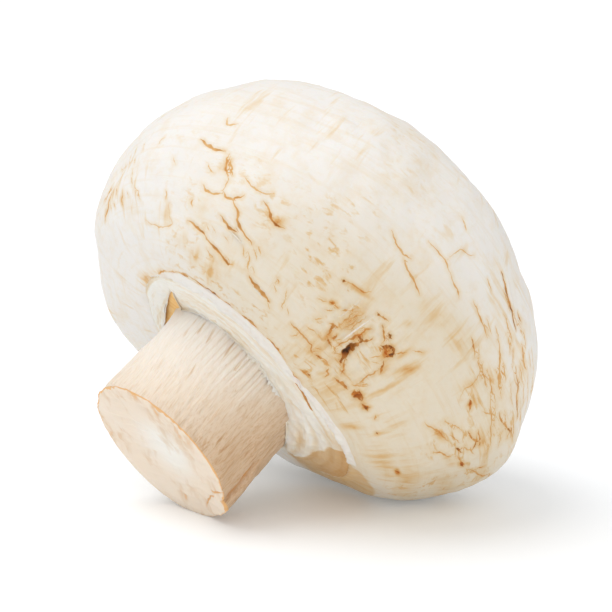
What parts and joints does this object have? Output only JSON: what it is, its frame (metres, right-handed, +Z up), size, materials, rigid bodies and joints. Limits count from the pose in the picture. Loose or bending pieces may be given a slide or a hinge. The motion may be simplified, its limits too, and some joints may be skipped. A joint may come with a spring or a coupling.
{
  "type": "button mushroom",
  "caption": "White button mushroom lying on its side, with a broad closed cap, a torn veil round the margin and a short stem cut across at a slight slant.",
  "frame": {"origin": "centre of the bounding box's footprint, on the surface that the mushroom lies on", "axes": "+Z up from the surface; the mushroom's own axis lies in the XZ plane, rising 40 degrees from the cut stem at -X to the crown at +X; the cap is widest along Y"},
  "size_m": [0.0419, 0.0501, 0.0442],
  "materials": {
    "cap_skin": "matte",
    "stem_flesh": "matte",
    "veil_membrane": "matte"
  },
  "bodies": {
    "root": {"cap": "cap_skin", "stem": "stem_flesh", "veil": "veil_membrane"}
  },
  "joints": []
}
